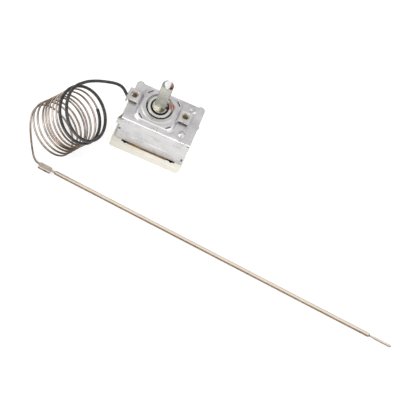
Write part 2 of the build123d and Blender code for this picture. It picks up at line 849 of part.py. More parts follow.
nodes = {
    "housing_shell": housing_shell,
    "ceramic_base": ceramic_base,
    "insulating_card": insulating_card,
    "guide_block": guide_block,
    "carrier_bracket": carrier_bracket,
    "plate_rivets": plate_rivets,
    "spindle_bush": spindle_bush,
    "spindle": spindle,
    "retaining_washer": retaining_washer,
    "adjusting_nut": adjusting_nut,
    "diaphragm_capsule": diaphragm_capsule,
    "transmission_pin": transmission_pin,
    "switch_blade": switch_blade,
    "moving_contact": moving_contact,
    "fixed_contact": fixed_contact,
    "left_terminal": left_terminal,
    "right_terminal": right_terminal,
    "terminal_rivets": terminal_rivets,
    "calibration_screw": calibration_screw,
    "capillary_stub": lambda: round_tube(stub_points(), capillary_diameter),
    "capillary_lead": lambda: round_tube(lead_route, sleeve_diameter),
    "capillary_coil": capillary_coil,
    "capillary_tail": lambda: round_tube(tail_points(), capillary_diameter),
    "crimp_ferrule": crimp_ferrule,
    "sensor_bulb": sensor_bulb,
}

os.makedirs("parts", exist_ok=True)
for name, make in nodes.items():
    solid = make()
    export_step(solid, f"parts/{name}.step")
    print(name, round(solid.volume, 1))
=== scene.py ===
import bmesh
import bpy
import numpy as np
from mathutils import Matrix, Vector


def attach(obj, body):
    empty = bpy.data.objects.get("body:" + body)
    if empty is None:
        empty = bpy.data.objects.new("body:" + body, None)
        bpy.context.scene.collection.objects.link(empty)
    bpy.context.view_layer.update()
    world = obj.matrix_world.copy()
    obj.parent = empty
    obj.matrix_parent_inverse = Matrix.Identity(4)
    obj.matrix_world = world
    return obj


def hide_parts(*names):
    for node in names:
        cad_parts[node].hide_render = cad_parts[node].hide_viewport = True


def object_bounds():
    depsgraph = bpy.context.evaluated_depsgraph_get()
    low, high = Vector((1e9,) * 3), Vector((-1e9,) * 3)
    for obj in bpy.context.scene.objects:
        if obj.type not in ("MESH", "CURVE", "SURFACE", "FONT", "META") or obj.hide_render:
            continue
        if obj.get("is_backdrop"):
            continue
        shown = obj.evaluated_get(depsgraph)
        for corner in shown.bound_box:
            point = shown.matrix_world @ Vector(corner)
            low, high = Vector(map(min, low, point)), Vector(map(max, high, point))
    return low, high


# Capillary thermostat of an oven, in metres, round the CAD model of its solids.
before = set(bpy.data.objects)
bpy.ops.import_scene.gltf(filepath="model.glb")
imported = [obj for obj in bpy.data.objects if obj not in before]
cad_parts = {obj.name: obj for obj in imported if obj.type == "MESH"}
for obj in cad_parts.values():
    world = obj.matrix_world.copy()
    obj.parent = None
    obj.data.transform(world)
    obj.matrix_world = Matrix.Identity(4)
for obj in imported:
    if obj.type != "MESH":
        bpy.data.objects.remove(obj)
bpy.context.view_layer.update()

# The photographer's place: steeply above the front and a little to the left, far off with a long
# lens, and with the camera rolled so that the plate runs down to the right.
MM = 0.001
azimuth = np.radians(-4.481)
elevation = np.radians(64.256)
roll = np.radians(27.524)
eye_distance = 850.0 * MM
aim_right = 31.234 * MM
aim_up = -41.057 * MM
image_size = 420
focal_pixels = 1626.872
sensor_width = 36.0

level_right = np.array([np.cos(azimuth), np.sin(azimuth), 0.0])
back = np.array([
    np.sin(azimuth) * np.cos(elevation),
    -np.cos(azimuth) * np.cos(elevation),
    np.sin(elevation),
])
level_up = np.cross(back, level_right)
right = np.cos(roll) * level_right + np.sin(roll) * level_up
up = np.cos(roll) * level_up - np.sin(roll) * level_right
eye = eye_distance * back + aim_right * right + aim_up * up

camera_data = bpy.data.cameras.new("camera")
camera_data.sensor_width = sensor_width
camera_data.lens = focal_pixels / image_size * sensor_width
camera_data.clip_start = 0.01
camera_data.clip_end = 20.0
camera = bpy.data.objects.new("camera", camera_data)
camera.matrix_world = Matrix([
    [right[0], up[0], back[0], eye[0]],
    [right[1], up[1], back[1], eye[1]],
    [right[2], up[2], back[2], eye[2]],
    [0, 0, 0, 1],
])
bpy.context.scene.collection.objects.link(camera)
bpy.context.scene.camera = camera


# Capillary: a hard-drawn copper tube 1 mm across, 0.885 m long. It leaves the housing on the left,
# is wound by hand into nine leaning turns, and comes down to the ferrule in front of the bulb.
def srgb(code):
    """Linear colour of an sRGB hex code: each channel through the sRGB curve, alpha 1."""
    channels = np.array([int(code[i:i + 2], 16) for i in (1, 3, 5)]) / 255
    linear = np.where(channels <= 0.04045, channels / 12.92, ((channels + 0.055) / 1.055) ** 2.4)
    return (*linear.tolist(), 1.0)


def feed(tree, node, **inputs):
    """Puts a value, an sRGB hex code or another node's socket into each named input of a node.

    An input's name has underscores for its spaces, and _0, _1 or _2 is the input of that number.
    """
    for key, value in inputs.items():
        socket = node.inputs[int(key[1:]) if key[1:].isdigit() else key.replace("_", " ")]
        if isinstance(value, bpy.types.NodeSocket):
            tree.links.new(value, socket)
        else:
            socket.default_value = srgb(value) if isinstance(value, str) else value


def add(tree, kind, settings=None, stops=(), **inputs):
    """Adds a node with its own settings, a ramp's stops from low to high, and its inputs."""
    made = tree.nodes.new(kind)
    for key, value in (settings or {}).items():
        setattr(made, key, value)
    for index, (position, code) in enumerate(stops):
        elements = made.color_ramp.elements
        stop = elements[index] if index < len(elements) else elements.new(position)
        stop.position = position
        stop.color = srgb(code)
    feed(tree, made, **inputs)
    return made


def finish_of(name, colour, roughness, metallic):
    """A new material with one Principled shader; gives the material, its tree and the shader.

    A pattern that is linked to the shader later takes the place of the plain value given here.
    """
    made = bpy.data.materials.new(name)
    made.use_nodes = True
    tree = made.node_tree
    shader = tree.nodes["Principled BSDF"]
    feed(tree, shader, Base_Color=colour, Roughness=roughness, Metallic=metallic)
    return made, tree, shader


def set_material(made, *node_names):
    """Gives the objects of these CAD nodes this material in every slot."""
    for node_name in node_names:
        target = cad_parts[node_name]
        if not target.data.materials:
            target.data.materials.append(made)
        for held in target.material_slots:
            held.material = made


capillary_diameter = 1.0
lead_route = (
    (-15.8, -1.2, 24.6),
    (-18.7, 2.2, 24.6),
    (-21.9, 3.6, 26.5),
    (-25.4, 2.3, 29.0),
    (-29.3, -0.3, 31.6),
    (-33.4, -3.0, 33.8),
    (-37.2, -6.2, 35.7),
    (-38.6, -7.8, 36.5),
)
tail_route = (
    (-56.0, -15.8, 9.9),
    (-58.2, -20.3, 12.4),
    (-58.1, -25.8, 12.9),
    (-56.2, -30.7, 10.9),
    (-53.6, -34.8, 7.0),
    (-50.6, -38.9, 3.5),
    (-48.4, -41.6, 1.7),
)
bulb_start = (-36.1, -43.9, 1.1)
bulb_turn = np.radians(-4.36)
tail_bend = 9.4
coil_top = np.array([-31.0, -19.0, 31.4])
coil_direction = np.array([-0.536, -0.265, -0.8])
coil_radii = (14.5, 14.5, 14.35, 14.2, 14.1, 14.1, 14.15, 14.3, 14.5, 14.6)
coil_tilt = np.radians(37)
coil_lean = np.radians(5)
coil_lean_per_turn = np.radians(3)
coil_first_angle = np.radians(122)
coil_spacing = (5.6, 3.0, 2.9, 3.3, 2.2, 1.5, 3.8, 2.5, 4.4, 2.4)
points_per_turn = 16
coil_first_turn = 0.09
coil_last_turn = 8.97
coil_rest = 0.55


def coil_points(turns):
    """Centre line of the leaning coil at these turn numbers.

    Each turn is a circle in a plane tilted by coil_tilt, whose lean swings by coil_lean_per_turn.
    From turn to turn the circle's radius goes through coil_radii, and its centre goes down
    coil_direction by coil_spacing. Where a circle would sink into the table it rests on it, so no
    point lies lower than coil_rest.
    """
    lean = coil_lean + coil_lean_per_turn * turns
    normal = np.stack([
        np.sin(coil_tilt) * np.cos(lean),
        np.sin(coil_tilt) * np.sin(lean),
        np.cos(coil_tilt) * np.ones_like(turns),
    ], axis=1)
    first = np.cross(np.array([0.0, 1.0, 0.0]), normal)
    first /= np.linalg.norm(first, axis=1)[:, None]
    second = np.cross(normal, first)
    drops = np.concatenate([[0], np.cumsum(coil_spacing)])
    sunk = np.interp(turns, np.arange(len(drops)), drops)
    angle = 2 * np.pi * turns + coil_first_angle
    # a quadratic spline runs inside its control points by this share of the radius
    inside_share = np.cos(np.pi / points_per_turn)
    radius = np.interp(turns, np.arange(len(coil_radii)), coil_radii) / inside_share
    stack = coil_direction / np.linalg.norm(coil_direction)
    round_part = np.cos(angle)[:, None] * first + np.sin(angle)[:, None] * second
    points = coil_top + sunk[:, None] * stack + radius[:, None] * round_part
    points[:, 2] = np.maximum(points[:, 2], coil_rest)
    return points


bulb_line = np.array([np.cos(bulb_turn), np.sin(bulb_turn), 0.0])
coil_turns = np.arange(coil_first_turn, coil_last_turn, 1 / points_per_turn)
capillary_points = np.vstack([
    lead_route,
    coil_points(coil_turns),
    tail_route,
    np.array(bulb_start) - tail_bend * bulb_line,
    bulb_start,
])

capillary_curve = bpy.data.curves.new("capillary", "CURVE")
capillary_curve.dimensions = "3D"
capillary_curve.resolution_u = 8
spline = capillary_curve.splines.new("NURBS")
spline.points.add(len(capillary_points) - 1)
spline.points.foreach_set(
    "co", np.column_stack([capillary_points * MM, np.ones(len(capillary_points))]).ravel()
)
spline.order_u = 3
spline.use_endpoint_u = True
capillary = bpy.data.objects.new("capillary", capillary_curve)
bpy.context.scene.collection.objects.link(capillary)

# the line itself, before the tube has its thickness, which the sleeve follows
bare = bpy.data.meshes.new_from_object(capillary)
capillary_line = np.empty(3 * len(bare.vertices))
bare.vertices.foreach_get("co", capillary_line)
capillary_line = capillary_line.reshape(-1, 3)
bpy.data.meshes.remove(bare)

capillary_curve.bevel_depth = capillary_diameter / 2 * MM
capillary_curve.bevel_resolution = 3
capillary_curve.use_fill_caps = True

# drawn copper, dulled by handling, with near black oxide in patches; the undersides are painted
# shade, near black, and the upper sides painted light, tan and pinkish
patch_size = 14.3
scratch_size = 0.526
scratch_depth = 0.06
top_light_share = 0.45
patch_share = 0.6
copper, tree, shader = finish_of("drawn_copper", "#93806f", 0.33, 1.0)
place = add(tree, "ShaderNodeTexCoord")
patches = add(
    tree, "ShaderNodeTexNoise",
    Vector=place.outputs["Object"], Scale=1 / (patch_size * MM), Detail=4.0, Roughness=0.55,
)
facing = add(tree, "ShaderNodeSeparateXYZ", Vector=place.outputs["Normal"])
tarnish = add(
    tree, "ShaderNodeMath", {"operation": "MULTIPLY"}, _0=patches.outputs["Fac"], _1=patch_share
)
# painted shade and light: the facing's Z makes undersides darker and upper sides lighter, on top of
# the oxide patches
painted_light_factor = add(
    tree, "ShaderNodeMath", {"operation": "MULTIPLY_ADD"},
    _0=facing.outputs["Z"], _1=top_light_share, _2=tarnish.outputs[0],
)
shades = add(
    tree, "ShaderNodeValToRGB", stops=((0.42, "#2a2019"), (0.6, "#86705b"), (0.78, "#e3d3c8")),
    Fac=painted_light_factor.outputs[0],
)
handled = add(
    tree, "ShaderNodeMapRange",
    Value=patches.outputs["Fac"], From_Min=0.3, From_Max=0.7, To_Min=0.4, To_Max=0.2,
)
scratches = add(
    tree, "ShaderNodeTexNoise",
    Vector=place.outputs["Object"], Scale=1 / (scratch_size * MM), Detail=3.0,
)
dents = add(
    tree, "ShaderNodeBump",
    Strength=0.25, Distance=scratch_depth * MM, Height=scratches.outputs["Fac"],
)
feed(
    tree, shader, Base_Color=shades.outputs["Color"], Roughness=handled.outputs["Result"],
    Normal=dents.outputs["Normal"],
)
capillary_curve.materials.append(copper)
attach(capillary, "housing")
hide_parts("capillary_lead", "capillary_coil", "capillary_tail")
set_material(copper, "capillary_stub")


# Sleeve: a black varnished glass-fibre sleeve 1.6 mm across, slipped over the capillary where it
# leaves the housing. It ends near the end of the second turn, cut square and a little frayed.
def grid_mesh(name, points, wrap_rows=False):
    """Smooth mesh of a rows x columns grid of points, with a face between each four neighbours.

    The last column joins the first, and if wrap_rows is set the last row joins the first too.
    """
    rows, columns = points.shape[:2]
    index = np.arange(rows * columns).reshape(rows, columns)
    if wrap_rows:
        index = np.vstack([index, index[:1]])
    index = np.hstack([index, index[:, :1]])
    corners = np.stack([index[:-1, :-1], index[:-1, 1:], index[1:, 1:], index[1:, :-1]], axis=-1)
    made = bpy.data.meshes.new(name)
    made.from_pydata(points.reshape(-1, 3).tolist(), [], corners.reshape(-1, 4).tolist())
    made.polygons.foreach_set("use_smooth", np.ones(len(made.polygons), dtype=bool))
    return made


def across_path(path):
    """Two unit vectors across a path at each of its points, carried on without twisting.

    The first is that of the point before, less its part along the path; the second is square to
    it and to the path.
    """
    ahead = np.gradient(path, axis=0)
    ahead /= np.linalg.norm(ahead, axis=1)[:, None]
    side = np.cross(ahead[0], [0.0, 0.0, 1.0])
    sides = np.empty_like(path)
    for i, direction in enumerate(ahead):
        side = side - direction * side.dot(direction)
        side /= np.linalg.norm(side)
        sides[i] = side
    return sides, np.cross(ahead, sides)


def travelled_along(path):
    """Distance from a path's start at each of its points: the sum of the steps up to it."""
    return np.concatenate([[0], np.cumsum(np.linalg.norm(np.diff(path, axis=0), axis=1))])


def add_piece(name, mesh, made, body):
    """Links a mesh as a piece that rides on a body, with its material."""
    piece = bpy.data.objects.new(name, mesh)
    bpy.context.scene.collection.objects.link(piece)
    mesh.materials.append(made)
    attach(piece, body)
    return piece


sleeve_start = 0.6
sleeve_radius = 0.8
sleeve_wall = 0.25
sleeve_turns = 1.805
sleeve_sides = 20
travelled = travelled_along(capillary_line)
control_length = travelled_along(capillary_points)
sleeve_point = len(lead_route) + (sleeve_turns - coil_first_turn) * points_per_turn
sleeve_share = (
    np.interp(sleeve_point, np.arange(len(control_length)), control_length) / control_length[-1]
)
sleeve_length = travelled[-1] * sleeve_share
sleeve_path = capillary_line[(travelled >= sleeve_start * MM) & (travelled <= sleeve_length)]
side, rise = across_path(sleeve_path)
angle = np.linspace(0, 2 * np.pi, sleeve_sides, endpoint=False)[None, :, None]
ring = side[:, None, :] * np.cos(angle) + rise[:, None, :] * np.sin(angle)
outside = sleeve_path[:, None, :] + sleeve_radius * MM * ring
inside = sleeve_path[:, None, :] + (sleeve_radius - sleeve_wall) * MM * ring
sleeve_mesh = grid_mesh("sleeve", np.concatenate([outside, inside[::-1]]), wrap_rows=True)

# varnished black glass-fibre braid: soft sheen, with paler streaks where the varnish is worn; the
# braid is drawn coarser than real, so that it shows
streak_size = 2.38
braid_size = 0.385
braid_rise = 0.08
varnish, tree, shader = finish_of("black_varnished_sleeve", "#2b2a29", 0.34, 0.0)
place = add(tree, "ShaderNodeTexCoord")
streaks = add(
    tree, "ShaderNodeTexNoise",
    Vector=place.outputs["Object"], Scale=1 / (streak_size * MM), Detail=4.0,
)
shades = add(
    tree, "ShaderNodeValToRGB", stops=((0.4, "#1f1e1d"), (0.7, "#4a4744")),
    Fac=streaks.outputs["Fac"],
)
braid = add(
    tree, "ShaderNodeTexNoise",
    Vector=place.outputs["Object"], Scale=1 / (braid_size * MM), Detail=2.0,
)
weave = add(
    tree, "ShaderNodeBump", Strength=0.35, Distance=braid_rise * MM, Height=braid.outputs["Fac"]
)
feed(tree, shader, Base_Color=shades.outputs["Color"], Normal=weave.outputs["Normal"])
sleeve = add_piece("sleeve", sleeve_mesh, varnish, "housing")

# Ferrule and bulb: a steel sleeve crimped flat on the capillary, and a drawn tube with its filling
# tip, both nickel plated: cream on the upper side and browner towards the underside, which is
# painted light and painted shade, with faint clouds in the plating.
draw_line_size = 0.714
draw_line_stretch = 25
draw_line_depth = 0.03
plating_cloud_size = 11.1
plating_cloud_share = 0.16
dimple_run = -4.54
dimple_side = 2.0
dimple_edge = 0.9
dimple_core = 0.7
bulb_level = np.array([-np.sin(bulb_turn), np.cos(bulb_turn), 0.0])
dimple_place = (np.array(bulb_start) + dimple_run * bulb_line - dimple_side * bulb_level) * MM
nickel, tree, shader = finish_of("drawn_nickel_plate", "#b9aca4", 0.3, 0.85)
place = add(tree, "ShaderNodeTexCoord")
along = add(
    tree, "ShaderNodeMapping",
    Vector=place.outputs["Object"], Rotation=(0, 0, -bulb_turn),
    Scale=(1 / draw_line_stretch, 1.0, 1.0),
)
lines = add(
    tree, "ShaderNodeTexNoise",
    Vector=along.outputs["Vector"], Scale=1 / (draw_line_size * MM), Detail=2.0,
)
clouds = add(
    tree, "ShaderNodeTexNoise",
    Vector=place.outputs["Object"], Scale=1 / (plating_cloud_size * MM), Detail=3.0,
)
facing = add(tree, "ShaderNodeSeparateXYZ", Vector=place.outputs["Normal"])
# painted shade and light: lighter on the upper side, browner towards the underside, with the
# plating clouds
painted_light_factor = add(
    tree, "ShaderNodeMath", {"operation": "MULTIPLY_ADD"},
    _0=clouds.outputs["Fac"], _1=plating_cloud_share, _2=facing.outputs["Z"],
)
shades = add(
    tree, "ShaderNodeValToRGB", stops=((0.76, "#6a5843"), (0.98, "#eee0d0")),
    Fac=painted_light_factor.outputs[0],
)
# the crimp's dimple is painted near black: painted shade in the recess
dimple = add(
    tree, "ShaderNodeVectorMath", {"operation": "DISTANCE"},
    _0=place.outputs["Object"], _1=dimple_place.tolist(),
)
dimple_shade = add(
    tree, "ShaderNodeMapRange",
    Value=dimple.outputs["Value"], From_Min=dimple_edge * MM, From_Max=dimple_core * MM,
)
dimple_shaded = add(
    tree, "ShaderNodeMix", {"data_type": "RGBA"},
    Factor=dimple_shade.outputs["Result"], A=shades.outputs["Color"], B="#1c1611",
)
drawn = add(
    tree, "ShaderNodeBump",
    Strength=0.2, Distance=draw_line_depth * MM, Height=lines.outputs["Fac"],
)
feed(tree, shader, Base_Color=dimple_shaded.outputs["Result"], Normal=drawn.outputs["Normal"])
set_material(nickel, "sensor_bulb", "crimp_ferrule")

# Housing: one folded sheet of zinc plated steel, 1 mm thick, blanked, pressed and lanced. The
# plating is pale, with faint clouds and with rolling lines, drawn coarser than real so that they
# show.
pressed_metal = 0.65
rolling_line_size = 0.667
rolling_stretch = (0.12, 1.0, 1.0)
rolling_line_depth = 0.06
zinc_cloud_size = 5.88
worn_edge_radius = 0.5
zinc, tree, shader = finish_of("zinc_plated_steel", "#c4c4c5", 0.36, pressed_metal)
place = add(tree, "ShaderNodeTexCoord")
rolled = add(
    tree, "ShaderNodeMapping", Vector=place.outputs["Object"], Scale=rolling_stretch
)
grain = add(
    tree, "ShaderNodeTexNoise",
    Vector=rolled.outputs["Vector"], Scale=1 / (rolling_line_size * MM), Detail=4.0,
)
clouds = add(
    tree, "ShaderNodeTexNoise",
    Vector=place.outputs["Object"], Scale=1 / (zinc_cloud_size * MM), Detail=5.0, Roughness=0.6,
)
shades = add(
    tree, "ShaderNodeValToRGB", stops=((0.33, "#bcbabc"), (0.68, "#d6d4d3")),
    Fac=clouds.outputs["Fac"],
)
# the pad's lip, a rounded rectangle seen from above, gets a painted highlight, white and strongest
# towards the front: the distance to it is the length of the positive part of |place - middle| less
# the half sizes, less the corner's radius
pad_middle = (0.25, -1.55, 29.0)
pad_lip_radius = 3.45
pad_lip_width = 0.45
pad_inner_half = (6.25, 5.55, 2.0)
pad_highlight_back = -5.0
pad_highlight_front = -8.0
from_middle = add(
    tree, "ShaderNodeVectorMath", {"operation": "SUBTRACT"},
    _0=place.outputs["Object"], _1=[value * MM for value in pad_middle],
)
folded = add(
    tree, "ShaderNodeVectorMath", {"operation": "ABSOLUTE"}, _0=from_middle.outputs["Vector"]
)
beyond = add(
    tree, "ShaderNodeVectorMath", {"operation": "SUBTRACT"},
    _0=folded.outputs["Vector"], _1=[value * MM for value in pad_inner_half],
)
outward = add(
    tree, "ShaderNodeVectorMath", {"operation": "MAXIMUM"}, _0=beyond.outputs["Vector"]
)
outline = add(
    tree, "ShaderNodeVectorMath", {"operation": "LENGTH"}, _0=outward.outputs["Vector"]
)
off_lip = add(
    tree, "ShaderNodeMath", {"operation": "SUBTRACT"},
    _0=outline.outputs["Value"], _1=pad_lip_radius * MM,
)
off_lip = add(tree, "ShaderNodeMath", {"operation": "ABSOLUTE"}, _0=off_lip.outputs[0])
on_lip = add(
    tree, "ShaderNodeMapRange",
    Value=off_lip.outputs[0], From_Min=pad_lip_width * MM, From_Max=0.0,
)
axes = add(tree, "ShaderNodeSeparateXYZ", Vector=place.outputs["Object"])
forward = add(
    tree, "ShaderNodeMapRange",
    Value=axes.outputs["Y"], From_Min=pad_highlight_back * MM, From_Max=pad_highlight_front * MM,
)
# painted highlight on the lip, strongest at the front
painted_light_factor = add(
    tree, "ShaderNodeMath", {"operation": "MULTIPLY"},
    _0=on_lip.outputs["Result"], _1=forward.outputs["Result"],
)
lip_highlighted = add(
    tree, "ShaderNodeMix", {"data_type": "RGBA"},
    Factor=painted_light_factor.outputs[0], A=shades.outputs["Color"], B="#ffffff",
)
# a dab of red locking paint runs over from the bush's rim
dab_place = (5.5, 2.5, 29.3)
dab_edge = 2.8
dab_core = 2.0
dab_ragged = 1.2
dab = add(
    tree, "ShaderNodeVectorMath", {"operation": "DISTANCE"},
    _0=place.outputs["Object"], _1=[value * MM for value in dab_place],
)
ragged = add(
    tree, "ShaderNodeMath", {"operation": "MULTIPLY_ADD"},
    _0=clouds.outputs["Fac"], _1=dab_ragged * MM, _2=dab.outputs["Value"],
)
painted = add(
    tree, "ShaderNodeMapRange",
    Value=ragged.outputs[0], From_Min=dab_edge * MM, From_Max=dab_core * MM,
)
coated = add(
    tree, "ShaderNodeMix", {"data_type": "RGBA"},
    Factor=painted.outputs["Result"], A=lip_highlighted.outputs["Result"], B="#b98372",
)
# the apron's face kept a duller skin than the pressed top
apron_dull_from = -13.1
apron_dull_to = -13.36
apron_metal = 0.3
dull = add(
    tree, "ShaderNodeMapRange",
    Value=axes.outputs["Y"], From_Min=apron_dull_from * MM, From_Max=apron_dull_to * MM,
    To_Min=pressed_metal, To_Max=apron_metal,
)
rough = add(
    tree, "ShaderNodeMapRange",
    Value=clouds.outputs["Fac"], From_Min=0.3, From_Max=0.7, To_Min=0.24, To_Max=0.36,
)
worn_edges = add(tree, "ShaderNodeBevel", {"samples": 6}, Radius=worn_edge_radius * MM)
rolling = add(
    tree, "ShaderNodeBump",
    Strength=0.3, Distance=rolling_line_depth * MM, Height=grain.outputs["Fac"],
    Normal=worn_edges.outputs["Normal"],
)
feed(
    tree, shader, Base_Color=coated.outputs["Result"], Metallic=dull.outputs["Result"],
    Roughness=rough.outputs["Result"], Normal=rolling.outputs["Normal"],
)
set_material(zinc, "housing_shell")

# Webs at the two back corners: there the sheet stretches from the flat corner into the back bend,
# so its edge runs on without a notch. The same plated sheet, 1 mm thick.
web_outer_ends = (-12.5, 19.1)
web_inner_ends = (-11.5, 18.1)
web_bend = np.array([8.1, 26.4])
web_radius = 1.8
web_sheet = 1.0
web_rows = 9
web_columns = 12
merge_distance = 1e-7

angle = np.linspace(0, np.pi / 2, web_columns)
flat_top = np.column_stack([
    web_bend[0] + web_radius * angle / (np.pi / 2),
    np.full(web_columns, web_bend[1] + web_radius),
])
bent_top = web_bend + web_radius * np.column_stack([np.sin(angle), np.cos(angle)])
flat_under = flat_top - [0, web_sheet]
bent_under = web_bend + (web_radius - web_sheet) / web_radius * (bent_top - web_bend)
flat_loop = np.vstack([flat_top, flat_under[::-1]])
bent_loop = np.vstack([bent_top, bent_under[::-1]])
share = np.linspace(0, 1, web_rows)[:, None, None]
loops = (1 - share) * flat_loop + share * bent_loop
# the first and last loops are drawn together to a point, which closes the ends
first_point, last_point = (
    np.broadcast_to(loop.mean(axis=0), loops[:1].shape) for loop in (loops[0], loops[-1])
)
loops = np.concatenate([first_point, loops, last_point])
for name, first, last in zip(("web_left", "web_right"), web_outer_ends, web_inner_ends):
    across = np.interp(np.arange(web_rows + 2), (1, web_rows), (first, last))[:, None, None]
    points = np.concatenate([across * np.ones_like(loops[..., :1]), loops], axis=-1) * MM
    web_mesh = grid_mesh(name, points)
    shape = bmesh.new()
    shape.from_mesh(web_mesh)
    bmesh.ops.remove_doubles(shape, verts=shape.verts, dist=merge_distance)
    bmesh.ops.recalc_face_normals(shape, faces=shape.faces)
    shape.to_mesh(web_mesh)
    shape.free()
    add_piece(name, web_mesh, zinc, "housing")

# Bracket: folded from the same sheet and riveted under the plate. Its yellow passivated plating
# has gone a dull greyish brown, with soft darker clouds.
bracket_cloud_size = 4.17
passivated, tree, shader = finish_of("yellow_passivated_steel", "#958b7c", 0.45, 0.6)
place = add(tree, "ShaderNodeTexCoord")
clouds = add(
    tree, "ShaderNodeTexNoise",
    Vector=place.outputs["Object"], Scale=1 / (bracket_cloud_size * MM), Detail=4.0,
)
shades = add(
    tree, "ShaderNodeValToRGB", stops=((0.35, "#84796a"), (0.66, "#aca08d")),
    Fac=clouds.outputs["Fac"],
)
feed(tree, shader, Base_Color=shades.outputs["Color"])
set_material(passivated, "carrier_bracket")

# Threads of the two lugs: M4, cut in the collars. The CAD holes are plain, so each gets a ring with
# the thread's ridges on its inside, bright from the cut and brownish from the tapping oil.
thread_radius = 1.84
thread_wall = 0.03
thread_depth = 0.32
thread_pitch = 0.7
thread_foot = 29.15
thread_top = 30.3
thread_rows = 60
thread_sides = 48
lug_places = (-14.0, 14.0)
oil_size = 2.0

turn = np.linspace(0, 2 * np.pi, thread_sides, endpoint=False)[None, :]
height = np.linspace(thread_foot, thread_top, thread_rows)[:, None]
phase = (height / thread_pitch - turn / (2 * np.pi)) % 1.0
ridge = thread_radius - thread_wall - thread_depth * (1 - np.abs(2 * phase - 1))
tapped, tree, shader = finish_of("tapped_steel_oiled", "#a58f6a", 0.32, 0.35)
place = add(tree, "ShaderNodeTexCoord")
oil = add(
    tree, "ShaderNodeTexNoise",
    Vector=place.outputs["Object"], Scale=1 / (oil_size * MM), Detail=3.0,
)
shades = add(
    tree, "ShaderNodeValToRGB", stops=((0.38, "#b5a27e"), (0.65, "#efe4c6")),
    Fac=oil.outputs["Fac"],
)
feed(tree, shader, Base_Color=shades.outputs["Color"])
for name, centre in zip(("thread_left", "thread_right"), lug_places):
    inner, outer = (
        np.stack([
            centre + radius * np.cos(turn),
            radius * np.sin(turn),
            height * np.ones_like(turn),
        ], axis=-1)
        for radius in (ridge, np.full_like(ridge, thread_radius))
    )
    thread_mesh = grid_mesh(name, np.concatenate([inner[::-1], outer]) * MM, wrap_rows=True)
    add_piece(name, thread_mesh, tapped, "housing")

# Rivets: soft plated steel, two through the plate and two through the terminals. They are peened
# by hand to low domes with small facets, whose colour is lighter, near white, where the facets
# rise:
# painted glints.
blow_size = 1.43
blow_depth = 0.3
bright, tree, shader = finish_of("peened_plated_steel", "#c6c4c4", 0.3, 0.9)
place = add(tree, "ShaderNodeTexCoord")
blows = add(
    tree, "ShaderNodeTexNoise",
    Vector=place.outputs["Object"], Scale=1 / (blow_size * MM), Detail=2.0,
)
# painted glints: near white where the facets rise
shades = add(
    tree, "ShaderNodeValToRGB", stops=((0.42, "#b2b1b4"), (0.6, "#f2f0f0")),
    Fac=blows.outputs["Fac"],
)
peened = add(
    tree, "ShaderNodeBump", Strength=0.5, Distance=blow_depth * MM, Height=blows.outputs["Fac"]
)
feed(tree, shader, Base_Color=shades.outputs["Color"], Normal=peened.outputs["Normal"])
set_material(bright, "plate_rivets", "terminal_rivets")

# Base and pin: pressed and fired steatite, cream, with a dry matt skin, fine pores and slightly
# darker clouds from handling. The front face is painted darker and yellower, and the trough's
# inside
# near black: both are painted shade.
steatite_cloud_size = 7.7
pore_size = 0.455
pore_depth = 0.1
base_face = -16.7
face_inner = 0.5
face_outer = 0.1
face_share = 0.85
trough_middle = (3.15, -12.2)
trough_half = (15.2, 2.8)
trough_shade_start = 4.7
trough_shade_full = 4.2
steatite, tree, shader = finish_of("fired_steatite", "#f4efe2", 0.55, 0.0)
place = add(tree, "ShaderNodeTexCoord")
clouds = add(
    tree, "ShaderNodeTexNoise",
    Vector=place.outputs["Object"], Scale=1 / (steatite_cloud_size * MM), Detail=5.0,
)
shades = add(
    tree, "ShaderNodeValToRGB", stops=((0.3, "#f0e9d9"), (0.62, "#faf6ee")),
    Fac=clouds.outputs["Fac"],
)
axes = add(tree, "ShaderNodeSeparateXYZ", Vector=place.outputs["Object"])
# painted shade: the front face is darker and yellower than the top
front = add(
    tree, "ShaderNodeMapRange",
    Value=axes.outputs["Y"], From_Min=(base_face + face_inner) * MM,
    From_Max=(base_face + face_outer) * MM, To_Max=face_share,
)
front_shaded = add(
    tree, "ShaderNodeMix", {"data_type": "RGBA"},
    Factor=front.outputs["Result"], A=shades.outputs["Color"], B="#dbd7ca",
)
# painted shade: near black inside the trough, below its rim
below = add(
    tree, "ShaderNodeMapRange",
    Value=axes.outputs["Z"], From_Min=trough_shade_start * MM, From_Max=trough_shade_full * MM,
)
trough_shade = below.outputs["Result"]
for axis, middle, reach in zip("XY", trough_middle, trough_half):
    off_middle = add(
        tree, "ShaderNodeMath", {"operation": "SUBTRACT"}, _0=axes.outputs[axis], _1=middle * MM
    )
    off_middle = add(tree, "ShaderNodeMath", {"operation": "ABSOLUTE"}, _0=off_middle.outputs[0])
    within = add(
        tree, "ShaderNodeMath", {"operation": "LESS_THAN"}, _0=off_middle.outputs[0], _1=reach * MM
    )
    both = add(tree, "ShaderNodeMath", {"operation": "MULTIPLY"}, _0=trough_shade, _1=within.outputs[0])
    trough_shade = both.outputs[0]
trough_shaded = add(
    tree, "ShaderNodeMix", {"data_type": "RGBA"},
    Factor=trough_shade, A=front_shaded.outputs["Result"], B="#2a2520",
)
pores = add(
    tree, "ShaderNodeTexNoise",
    Vector=place.outputs["Object"], Scale=1 / (pore_size * MM), Detail=3.0,
)
skin = add(
    tree, "ShaderNodeBump", Strength=0.25, Distance=pore_depth * MM, Height=pores.outputs["Fac"]
)
feed(tree, shader, Base_Color=trough_shaded.outputs["Result"], Normal=skin.outputs["Normal"])
set_material(steatite, "ceramic_base", "transmission_pin")

